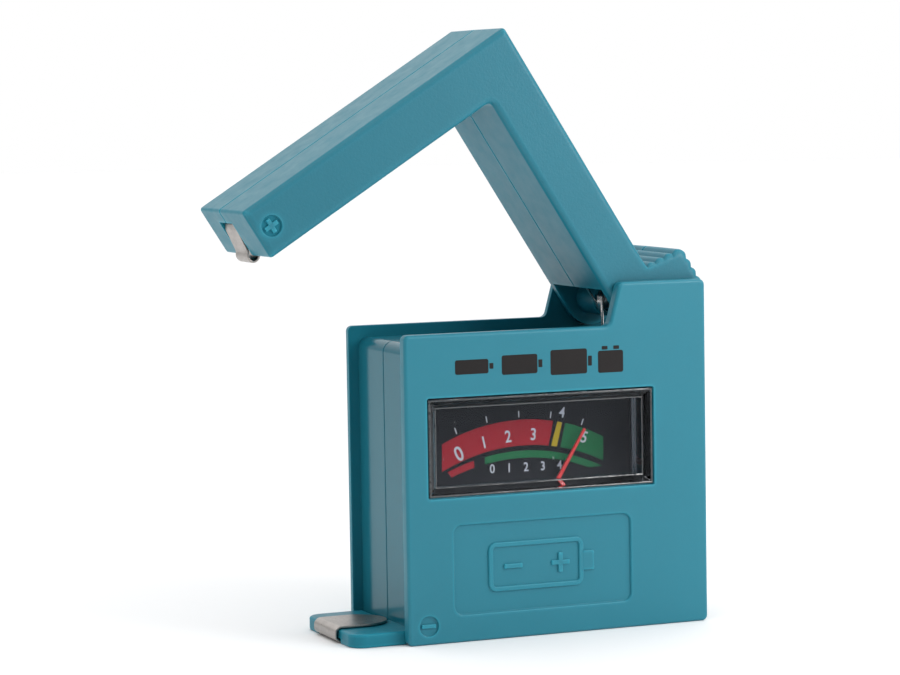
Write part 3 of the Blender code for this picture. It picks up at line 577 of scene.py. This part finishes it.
def make_rear_cover():
    """Rear shell with its screw pillars."""
    made = shell("rear_shell", REAR_FACE, REAR_INSIDE, SEAM_REAR)
    cut(made, slab("pin_hole", ring(PIVOT_X, PIVOT_Z, PIN_HOLE), REAR_INSIDE - 1, REAR_INSIDE + 0.9))
    for x, z in SCREWS:
        add(made, slab("pillar", ring(x, z, 2.6), SEAM_REAR, REAR_INSIDE + 0.2))
        cut(made, slab("shank_hole", ring(x, z, 1.1), SEAM_REAR - 1, REAR_FACE + 1))
        cut(made, pocket("sink", ring(x, z, 2.05), REAR_FACE, -1.1, 0.15, 0.1))
    finish(made, [satin, polished_painted_shade], "case", ["rear_cover"], case_finish)


def make_screw(index, x, z):
    """Countersunk screw with a cross recess, seen at the bottom of its hole."""
    top = REAR_FACE - 0.15
    profile = [(0.88, -5.5), (0.9, top - 0.9), (1.62, top - 0.16), (1.75, top - 0.1), (1.75, top - 0.04),
               (1.7, top)]
    made = loft(f"screw_{index}", [(ring(x, z, r)(), y) for r, y in profile])
    for half_x, half_z in ((1.05, 0.2), (0.2, 1.05)):
        shape = block(x - half_x, x + half_x, z - half_z, z + half_z, 0.08)
        cut(made, pocket("recess", shape, top, -0.6, 0.05, 0.12))
    finish(made, steel, "case", [f"case_screw_{index}"])


def make_negative_contact():
    """Strip on the foot, round at its inner end, wrapped under the foot, with a tail up into the case."""
    half, top, low = 4.25, FOOT_THICK + 0.3, 0.35
    corners = [(-30.15, half), (-30.15, -half)]
    corners += [(-26.4 + half * math.cos(math.radians(a)), half * math.sin(math.radians(a)))
                for a in range(-90, 91, 6)]

    def tongue(inset=0.0):
        return outline([(x, y, 0) for x, y in corners], inset)

    made = slab("foot_contact", tongue, top - 0.15, top + 0.15, 0.05, 0.06, place=along_z)
    wrap = rounded_path([(-29.9, 0, top), (-30.5, 0, top), (-31.1, 0, top - 0.45), (-31.1, 0, low + 0.35),
                         (-30.6, 0, low), (-26.0, 0, low)], 0.6)
    add(made, sweep("wrap", wrap, strip_section(half, 0.14)))
    tail = rounded_path([(-26.4, -2.4, low), (-19.7, -2.4, low), (-19.7, -2.4, 5.8)], 0.6)
    add(made, sweep("tail", tail, strip_section(1.8, 0.12)))
    finish(made, shaded_nickel, "case", ["negative_contact"])


def make_nine_volt_contact(which, z):
    """Plate with a dimple on the right side, and a tail through the wall."""
    x = BLOCK_HALF + 0.3
    plate = block(-7.6, -1.4, z - 3.1, z + 3.1, 0.7)
    made = slab(f"side_contact_{which}", plate, x, x + 0.4, 0.05, 0.12, place=along_x)
    cut(made, pocket("dimple", ring(-4.5, z, 1.5), x + 0.4, -0.18, 0.3, 0.12, place=along_x))
    add(made, slab("tail", block(-5.9, -3.1, z - 0.2, z + 0.2), x - 3.6, x + 0.2, place=along_x))
    finish(made, shaded_nickel, "case", [f"nine_volt_contact_{which}"])


# Window and dial --------------------------------------------------------------------------------------


def make_window():
    """Clear tray: a front with a bevel round it, a rounded rim, and walls that reach back to the dial."""
    x0, x1, z0, z1 = WINDOW
    gap = 0.15
    shape = block(x0 + gap, x1 - gap, z0 + gap, z1 - gap, 0.12)
    front, rear = FRONT_FACE + 0.1, -6.3
    loops = [(1.42, front + 0.72), (1.24, front + 0.67), (0.34, front + 0.05), (0.22, front), (0.16, front),
             (0.1, front + 0.02), (0.04, front + 0.07), (0.0, front + 0.16), (0.0, rear - 0.05), (0.05, rear),
             (0.95, rear), (1.0, rear - 0.05), (1.0, FRONT_INSIDE + 0.1), (1.1, FRONT_INSIDE)]

    def choose(centre):
        """1 on the two thin lines round the bevel, 0 elsewhere."""
        outer_line = centre.y < front + 0.12
        inner_line = front + 0.68 < centre.y < front + 0.71
        return 1 if outer_line or inner_line else 0

    made = loft("window_tray", [(shape(i), y) for i, y in loops])
    finish(made, [clear, rim], "case", ["window_lens"], choose, angle=20)
    made.visible_shadow = False


def arc_top(centre_x, centre_z, radius, x):
    """Height of an arc at x."""
    return centre_z + math.sqrt(radius * radius - (x - centre_x) ** 2)


def band(upper, lower, left, right, steps=24):
    """Printed band between two arcs. left and right are its end lines, (x at the top, x at the bottom)."""
    over, under = ([a + (b - a) * k / steps for k in range(steps + 1)] for a, b in zip(left, right))
    points = [Vector((x, arc_top(*lower, x))) for x in under]
    points += [Vector((x, arc_top(*upper, x))) for x in reversed(over)]
    return points


def printed(name, look, shapes, slot, low, high):
    """Thin layers of ink, one outline each, joined as one piece."""
    bm = bmesh.new()
    for points in shapes:
        rings = [[bm.verts.new(Vector((p[0], y, p[1])) * MM) for p in points] for y in (low, high)]
        skin(bm, rings)
        bm.faces.new(rings[0])
        bm.faces.new(rings[1])
    finish(object_from(name, bm), look, "case")


INK = (DIAL_FACE - PRINT, DIAL_FACE)
UPPER_OUTER, UPPER_INNER = (-2.84, 2.16, 27.56), (-2.46, -1.44, 27.5)
LOWER_OUTER, LOWER_INNER = (-2.83, -3.0, 28.3), (-2.83, -4.0, 28.3)


def make_dial():
    """Dark plate with its coloured bands in ink."""
    plate = slab("dial_face", block(-19.2, 14.1, 20.6, 33.4, 0.3), DIAL_FACE, DIAL_FACE + 0.3, 0.03)
    finish(plate, dial_black, "case", ["dial_plate"])
    red = [band(UPPER_OUTER, UPPER_INNER, (-15.0, -15.05), (2.1, 1.3)),
           band(LOWER_OUTER, LOWER_INNER, (-14.2, -13.6), (-10.2, -10.15))]
    yellow = [band(UPPER_OUTER, UPPER_INNER, (2.75, 1.75), (3.5, 2.6))]
    green = [band(UPPER_OUTER, UPPER_INNER, (4.0, 3.2), (9.9, 9.85)),
             band(LOWER_OUTER, LOWER_INNER, (-8.5, -8.5), (9.6, 7.6))]
    printed("dial_band_red", red_print, red, "dial_print", *INK)
    printed("dial_band_yellow", yellow_print, yellow, "dial_print", *INK)
    printed("dial_band_green", green_print, green, "dial_print", *INK)


def lettering(name, items, look, low, high):
    """Numbers as thin raised ink. items are (text, x, z, height, turn in degrees)."""
    narrow = 0.85
    bm = bmesh.new()
    for text, x, z, height, turn in items:
        curve = bpy.data.curves.new(name, "FONT")
        curve.body = text
        curve.align_x, curve.align_y = "CENTER", "CENTER"
        curve.size = height * 1.4 * MM
        curve.offset = 0.02 * height * MM
        curve.extrude = abs(high - low) / 2 * MM
        made = bpy.data.objects.new(name, curve)
        bpy.context.scene.collection.objects.link(made)
        bpy.context.view_layer.update()
        mesh = bpy.data.meshes.new_from_object(made.evaluated_get(bpy.context.evaluated_depsgraph_get()))
        mesh.transform(Matrix.Translation((x * MM, (low + high) / 2 * MM, z * MM))
                       @ Matrix.Rotation(math.radians(turn), 4, "Y")
                       @ Matrix.Rotation(math.pi / 2, 4, "X") @ Matrix.Diagonal((narrow, 1, 1, 1)))
        bm.from_mesh(mesh)
        bpy.data.objects.remove(made)
        bpy.data.curves.remove(curve)
        bpy.data.meshes.remove(mesh)
    bmesh.ops.remove_doubles(bm, verts=bm.verts, dist=1e-7)
    finish(object_from(name, bm), look, "case")


def make_numbers():
    """0 to 5 along the upper bands, 0 to 4 under the lower one, and the scale's short lines."""
    over = INK[0] - PRINT
    numbers = [("0", -12.4, 25.35, 2.1, -24), ("1", -8.6, 26.75, 1.7, -13), ("2", -4.9, 27.35, 1.7, -5),
               ("3", -1.0, 27.45, 1.7, 4), ("4", 3.5, 30.35, 1.5, 10), ("5", 6.9, 26.6, 1.7, 20)]
    numbers += [(str(k), -7.4 + 2.6 * k, 22.95 - 0.02 * k, 1.25, 0) for k in range(5)]
    lettering("dial_numbers", numbers, grey_print, over, INK[0])
    ticks = []
    for x in (-12.6, -8.0, -3.2, 1.6, 6.4):
        on_arc = Vector((x, arc_top(*UPPER_OUTER, x)))
        out = (on_arc - Vector(UPPER_OUTER[:2])).normalized()
        side = Vector((out.y, -out.x)) * 0.07
        low, high = on_arc + out * 0.35, on_arc + out * 1.25
        ticks.append([low - side, low + side, high + side, high - side])
    printed("dial_ticks", grey_print, ticks, "dial_print", *INK)


def make_needle():
    """Pointer with its hub, drawn upright about its spindle."""
    blade = [(-0.35, -3.7, 0), (0.35, -3.7, 0), (0.42, 0, 0), (0.2, POINTER_LENGTH, 0.1),
             (-0.2, POINTER_LENGTH, 0.1), (-0.42, 0, 0)]
    made = slab("needle", cornered(*blade), POINTER_Y - 0.15, POINTER_Y + 0.15, 0.08, 0.08)
    add(made, slab("hub", ring(0, 0, 1.2), POINTER_Y - 0.35, POINTER_Y + 0.35, 0.1, 0.1))
    cut(made, slab("bore", ring(0, 0, 0.5, 24), POINTER_Y - 1, POINTER_Y + 1))
    place_mesh(made, METER_X, METER_Z, POINTER_REST)
    finish(made, needle_red, "pointer", ["pointer"])


# Arm, drawn closed about its pivot --------------------------------------------------------------------


def ridges(start, end, height, count=4, steps=8):
    """Points of round ridges side by side between two corners."""
    along = end - start
    out = Vector((along.y, -along.x)).normalized() * height
    return [start + along * (i + k / steps) / count + out * math.sin(math.pi * k / steps)
            for i in range(count) for k in range(steps) if i or k]


def arm_shape(inset=0.0):
    """Outline of the arm. Moved inwards, it loses the ridges of the thumb tab but keeps the notch by it."""
    height = RIDGE_HEIGHT * max(1 - inset / 0.8, 0.0)
    hub = [(HUB_RADIUS * math.sin(math.radians(a)), -HUB_RADIUS * math.cos(math.radians(a)), 0)
           for a in range(0, 91, 5)]
    corners = [(ARM_OUTER_X, ARM_TIP_Z, 0.5), (ARM_INNER_X, ARM_TIP_Z, 0.5), (ARM_INNER_X, ARM_UNDER_Z, 0.8),
               *hub, (3.0, TAB_CREST, 0), (-3.1, TAB_CREST, 0), (TAB_LEFT_X, ARM_TOP_Z, 0),
               (TAB_LEFT_X - 3, ARM_TOP_Z, 0), (ARM_OUTER_X, ARM_TOP_Z, 0.5)]
    points = outline(corners, inset)
    # The tab's three corners come before one plain corner and the 9 points of the last, rounded one.
    tab = len(points) - 13
    right, left = points[tab:tab + 2]
    notch = outline(corners, min(inset, 0.2))[tab + 2]
    return [*points[:tab + 1], *ridges(right, left, height), left, *ridges(left, notch, height), notch,
            *points[tab + 3:]]


ARM_CAVITY = (
    (ARM_OUTER_X + ARM_WALL, ARM_TIP_Z + ARM_WALL, 0), (ARM_INNER_X - ARM_WALL, ARM_TIP_Z + ARM_WALL, 0),
    (ARM_INNER_X - ARM_WALL, ARM_UNDER_Z + ARM_WALL, 0), (CHEEK_FROM_X, ARM_UNDER_Z + ARM_WALL, 0),
    (CHEEK_FROM_X, ARM_UNDER_Z - 2, 0), (HUB_RADIUS + 2, ARM_UNDER_Z - 2, 0),
    (HUB_RADIUS + 2, ARM_TOP_Z - ARM_WALL, 0), (2.5, ARM_TOP_Z - ARM_WALL, 0),
    (1.7, TAB_CREST - ARM_WALL, 0), (-1.8, TAB_CREST - ARM_WALL, 0),
    (-2.6, ARM_TOP_Z - ARM_WALL, 0), (ARM_OUTER_X + ARM_WALL, ARM_TOP_Z - ARM_WALL, 0),
)


def make_arm_half(name, node, outer, seam, boss_end):
    """Hollow half of the arm with its hinge boss. Only the front half has the sunk disc with a plus."""
    into = math.copysign(1, seam - outer)
    inner = outer + into * CHEEK
    is_front = into > 0
    edge = 0.9 if is_front else 0.4
    loops = [(arm_shape(ARM_TRIM + ARM_DRAFT + i), outer + into * d) for i, d in fillet(edge)]
    loops += [(arm_shape(ARM_TRIM + i), seam - into * d) for i, d in reversed(fillet(0.1, 3))]
    made = loft(name, loops)
    cut(made, slab("cavity", cornered(*ARM_CAVITY), inner, seam + into))
    add(made, slab("boss", ring(0, 0, BOSS_RADIUS), inner - into * 0.2, boss_end, 0, 0.15))
    cut(made, slab("pin_hole", ring(0, 0, PIN_HOLE), outer - into, boss_end + into))
    slot_face = block(-42.2, ARM_INNER_X + 1, ARM_TIP_Z - 1, ARM_TIP_Z + 1.9)
    cut(made, slab("contact_slot", slot_face, -1.5, 4.1))
    if is_front:
        x, z = -40.48, -39.99
        cut(made, pocket("mark", ring(x, z, 1.45), outer, RELIEF, 0.12, 0.1))
        add(made, cross(x, z, 1.05, 0.3, outer + 0.05, outer + RELIEF + 0.2, 0.1, 0.1))
    place_mesh(made, PIVOT_X, PIVOT_Z, ARM_OPEN)

    def choose(centre):
        """0 on the outer face, which has the spark texture, and 1 on the smooth sides."""
        return 0 if (centre.y - outer) * into < 0.3 else 1

    finish(made, [spark, smooth], "arm", [node], choose)


def make_arm_contact():
    """Strip along the inside of the arm, out of the slot in its tip and round into a curl."""
    corners = [(-7.5, -1.45), (-37.9, -1.45), (-40.6, -4.6), (-40.6, -38.6), (-41.8, -40.4), (-41.75, -41.7),
               (-41.0, -42.15), (-37.6, -42.55), (-36.9, -43.05), (-36.1, -42.9), (-35.85, -42.2),
               (-36.2, -41.5), (-37.4, -41.3)]
    path = rounded_path([(x, 1.3, z) for x, z in corners], 0.9)
    made = sweep("arm_strip", path, strip_section(2.5, 0.15))
    place_mesh(made, PIVOT_X, PIVOT_Z, ARM_OPEN)
    finish(made, shaded_nickel, "arm", ["arm_contact"])


def make_spring():
    """Torsion spring between a leg on the case and a leg on the arm."""
    radius, wire, front, rear, turns = 2.05, 0.2, 0.2, 1.9, 4
    start, end = 1.5 * math.pi - ARM_OPEN, math.pi + 2 * math.pi * turns
    centre = Vector((PIVOT_X, 0, PIVOT_Z))
    along_arm = Vector((-math.cos(ARM_OPEN), 0, math.sin(ARM_OPEN)))
    count = 190
    coil = []
    for k in range(count + 1):
        a, y = start + (end - start) * k / count, rear + (front - rear) * k / count
        coil.append(centre + Vector((radius * math.cos(a), y, radius * math.sin(a))))
    path = [coil[0] + along_arm * d for d in (7.5, 5.0, 2.5, 1.0)] + coil
    path += [coil[-1] - Vector((0, 0, d)) for d in (1.0, 2.0, 4.0, 6.2)]
    angles = [2 * math.pi * k / 12 for k in range(12)]
    made = sweep("hinge_spring", path, [(wire * math.cos(t), wire * math.sin(t)) for t in angles])
    made.data.materials.append(spring_steel)
    made.data.shade_smooth()
    made.data.set_sharp_from_angle(angle=math.radians(50))
    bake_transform(made)
    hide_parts("torsion_spring")


# Printed marks on the front ---------------------------------------------------------------------------


def make_front_print():
    """Black print above the window: plain outlines of the kinds of cell that the tester takes."""
    shapes = []
    # Three round cells lying down, of growing size, each with its terminal.
    z = 38.2
    for x, half_z, length in ((-15.6, 1.0, 5.0), (-8.6, 1.35, 5.4), (-1.2, 1.75, 5.6)):
        end, nub = x + length, half_z * 0.4
        shapes.append(outline(rectangle(x, end, z - half_z, z + half_z, 0.3), steps=4))
        shapes.append(outline(rectangle(end + 0.15, end + 0.75, z - nub, z + nub, 0.1), steps=3))
    # A nine volt cell standing up, with its two terminals.
    for part in ((6.1, 10.0, 36.4, 39.5, 0.3), (6.7, 7.6, 39.65, 40.15, 0.1), (8.5, 9.4, 39.65, 40.15, 0.1)):
        shapes.append(outline(rectangle(*part), steps=4))
    printed("front_print", black_print, shapes, "black_plastic", FRONT_FACE, FRONT_FACE + PRINT)


make_front_cover()
make_rear_cover()
for number, (screw_x, screw_z) in enumerate(SCREWS, 1):
    make_screw(number, screw_x, screw_z)
make_negative_contact()
make_nine_volt_contact("lower", NINE_VOLT_Z[0])
make_nine_volt_contact("upper", NINE_VOLT_Z[1])
make_window()
make_dial()
make_numbers()
make_needle()
make_arm_half("arm_shell_front", "arm_front", ARM_FRONT, ARM_SEAM_FRONT, -4.5)
make_arm_half("arm_shell_rear", "arm_rear", ARM_REAR, ARM_SEAM_REAR, 2.5)
make_arm_contact()
make_spring()
make_front_print()


# Studio -----------------------------------------------------------------------------------------------


CAMERA_PLACE = Vector((-174.07, -393.6, 74.9)) * MM
CAMERA_TURN = (22.44, -4.495, -0.942)
CAMERA_LENS, CAMERA_SENSOR = 120.96, 36.0
FLOOR_RADIUS = 3000


def make_floor():
    made = slab("floor", ring(0, 0, FLOOR_RADIUS, 96), -2, 0, place=along_z)
    look = surface("floor_paper", (0.93, 0.93, 0.935), 0.85, spread=0.008, cloud=8, grain=900, relief=0.01)
    made.data.materials.append(look)


def make_light(name, place, target, size, power):
    """Soft white panel that the camera doesn't see."""
    data = bpy.data.lights.new(name, "AREA")
    data.shape = "RECTANGLE"
    data.size, data.size_y = size
    data.energy = power
    made = bpy.data.objects.new(name, data)
    made.location = place
    made.visible_camera = False
    made.rotation_euler = (Vector(target) - Vector(place)).to_track_quat("-Z", "Y").to_euler()
    bpy.context.scene.collection.objects.link(made)


def make_camera():
    """Camera from its place and its yaw, pitch and roll."""
    yaw, pitch, roll = (math.radians(a) for a in CAMERA_TURN)
    ahead = Vector((math.sin(yaw) * math.cos(pitch), math.cos(yaw) * math.cos(pitch), math.sin(pitch)))
    right = Vector((math.cos(yaw), -math.sin(yaw), 0))
    up = right.cross(ahead)
    tilted_right = right * math.cos(roll) + up * math.sin(roll)
    tilted_up = up * math.cos(roll) - right * math.sin(roll)
    data = bpy.data.cameras.new("camera")
    data.sensor_width = CAMERA_SENSOR
    data.lens = CAMERA_LENS
    data.clip_start, data.clip_end = 0.01, 50
    made = bpy.data.objects.new("camera", data)
    turn = Matrix((tilted_right, tilted_up, -ahead)).transposed().to_4x4()
    made.matrix_world = Matrix.Translation(CAMERA_PLACE) @ turn
    bpy.context.scene.collection.objects.link(made)
    bpy.context.scene.camera = made


def make_world():
    """Soft light from behind and above. The camera sees the world as even white."""
    world = bpy.data.worlds.new("studio")
    bpy.context.scene.world = world
    world.use_nodes = True
    tree = world.node_tree
    background = tree.nodes["Background"]
    background.inputs["Color"].default_value = (1, 1, 1, 1)
    split = tree.nodes.new("ShaderNodeSeparateXYZ")
    tree.links.new(tree.nodes.new("ShaderNodeTexCoord").outputs["Generated"], split.inputs[0])

    def ranged(axis, low, high, to_low, to_high):
        node = tree.nodes.new("ShaderNodeMapRange")
        tree.links.new(split.outputs[axis], node.inputs["Value"])
        for socket, value in zip(("From Min", "From Max", "To Min", "To Max"), (low, high, to_low, to_high)):
            node.inputs[socket].default_value = value
        return node.outputs[0]

    def combined(operation, *values):
        node = tree.nodes.new("ShaderNodeMath")
        node.operation = operation
        for socket, value in zip(node.inputs, values):
            tree.links.new(value, socket)
        return node.outputs[0]

    # Y is the direction away from the front of the case, Z is up.
    lit = combined("ADD", ranged("Y", 0.3, 0.8, 0.05, 0.6), ranged("Z", 0.1, 0.8, 0.0, 1.3))
    seen = combined("MAXIMUM", lit, tree.nodes.new("ShaderNodeLightPath").outputs["Is Camera Ray"])
    tree.links.new(seen, background.inputs["Strength"])


make_camera()
make_world()
make_floor()
make_light("front_right", (0.13, -0.15, 0.12), (0.03, 0, 0.065), (0.1, 0.1), 0.23)
make_light("far_right", (0.45, -0.75, 0.45), (0, 0, 0.05), (0.5, 0.6), 0.3)
bpy.context.scene.view_settings.view_transform = "Standard"
